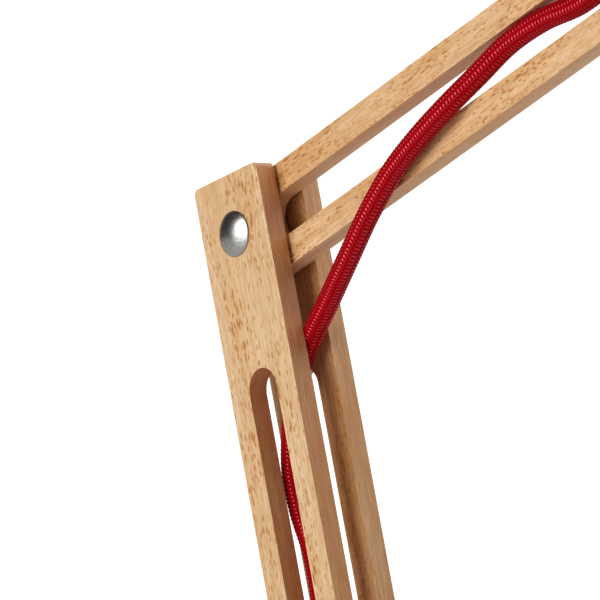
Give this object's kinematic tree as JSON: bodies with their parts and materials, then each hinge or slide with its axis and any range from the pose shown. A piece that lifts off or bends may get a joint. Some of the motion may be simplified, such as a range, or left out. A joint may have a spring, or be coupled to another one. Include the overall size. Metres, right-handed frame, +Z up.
{
  "type": "table lamp",
  "caption": "Desk lamp with a swing arm of slotted beech slats on domed steel pivots, a braided flex woven through the slots, a turned base and a tilting spun shade.",
  "frame": {"origin": "middle of the base's underside, on the surface it stands on", "axes": "+Z up, +X the way the upper arm reaches, the pivots lie along Y"},
  "size_m": [0.4477, 0.336, 0.5607],
  "materials": {
    "beech": "oiled beech",
    "steel": "brushed",
    "plated_steel": "nickel plated",
    "iron": "as cast",
    "felt": "felt",
    "black_rubber": "matte",
    "braid": "braided textile over a rubber core",
    "tie": "woven",
    "black_plastic": "satin",
    "ceramic": "glazed",
    "brass": "plain",
    "enamel": "matte off-white coat",
    "opal": "opal",
    "rocker": "gloss"
  },
  "bodies": {
    "base": {"felt_pad": "felt", "base_disc": "beech", "ballast_plate": "iron", "ballast_screws": "steel", "base_post": "beech", "post_screws": "steel", "base_grommet": "black_rubber", "base_strain_relief": "black_rubber", "cord_base_inner": "braid", "cord_base_loop": "braid", "cord_table_lead": "braid", "switch_lower_shell": "black_plastic", "switch_upper_shell": "black_plastic", "switch_screws": "steel", "switch_contacts": "brass", "cord_switch_tail": "braid", "cord_coil": "braid", "cord_tie": "tie", "cord_plug_tail": "braid", "plug_body": "black_plastic", "plug_pins": "plated_steel"},
    "rocker": {"switch_rocker": "rocker"},
    "lower_arm": {"front_lower_slat": "beech", "rear_lower_slat": "beech", "arm_pivot_sleeves": "steel", "arm_pivot_screws": "steel", "arm_pivot_washers": "steel", "cord_lower_run": "braid", "cord_elbow": "braid"},
    "upper_arm": {"upper_slat": "beech", "cord_upper_run": "braid", "cord_head_loop": "braid"},
    "head": {"front_cheek": "beech", "rear_cheek": "beech", "head_pivot_sleeve": "steel", "head_pivot_screw": "steel", "head_pivot_washers": "steel", "lampholder_cap": "beech", "holder_screws": "steel", "head_cord_gland": "black_rubber", "lampholder_shell": "black_plastic", "lampholder_core": "ceramic", "centre_contact": "brass", "shade_ring": "black_plastic", "shade": "enamel", "bulb_cap": "plated_steel", "bulb_glass": "opal"}
  },
  "joints": [
    {"name": "base_tilt", "type": "hinge", "parent": "base", "child": "lower_arm", "pos_m": [-0.03, 0, 0.07384], "axis": [0, 1, 0], "range_deg": [-14, 30], "deforming": ["cord_base_loop"]},
    {"name": "elbow", "type": "hinge", "parent": "lower_arm", "child": "upper_arm", "pos_m": [-0.12372, 0, 0.40067], "axis": [0, 1, 0], "range_deg": [-45, 45], "deforming": ["cord_elbow"]},
    {"name": "head_tilt", "type": "hinge", "parent": "upper_arm", "child": "head", "pos_m": [0.18689, 0, 0.53896], "axis": [0, 1, 0], "range_deg": [-60, 20], "deforming": ["cord_head_loop"]},
    {"name": "rocker", "type": "hinge", "parent": "base", "child": "rocker", "pos_m": [-0.167, 0.093, 0.0137], "axis": [1, 0, 0], "range_deg": [0, 16]}
  ]
}
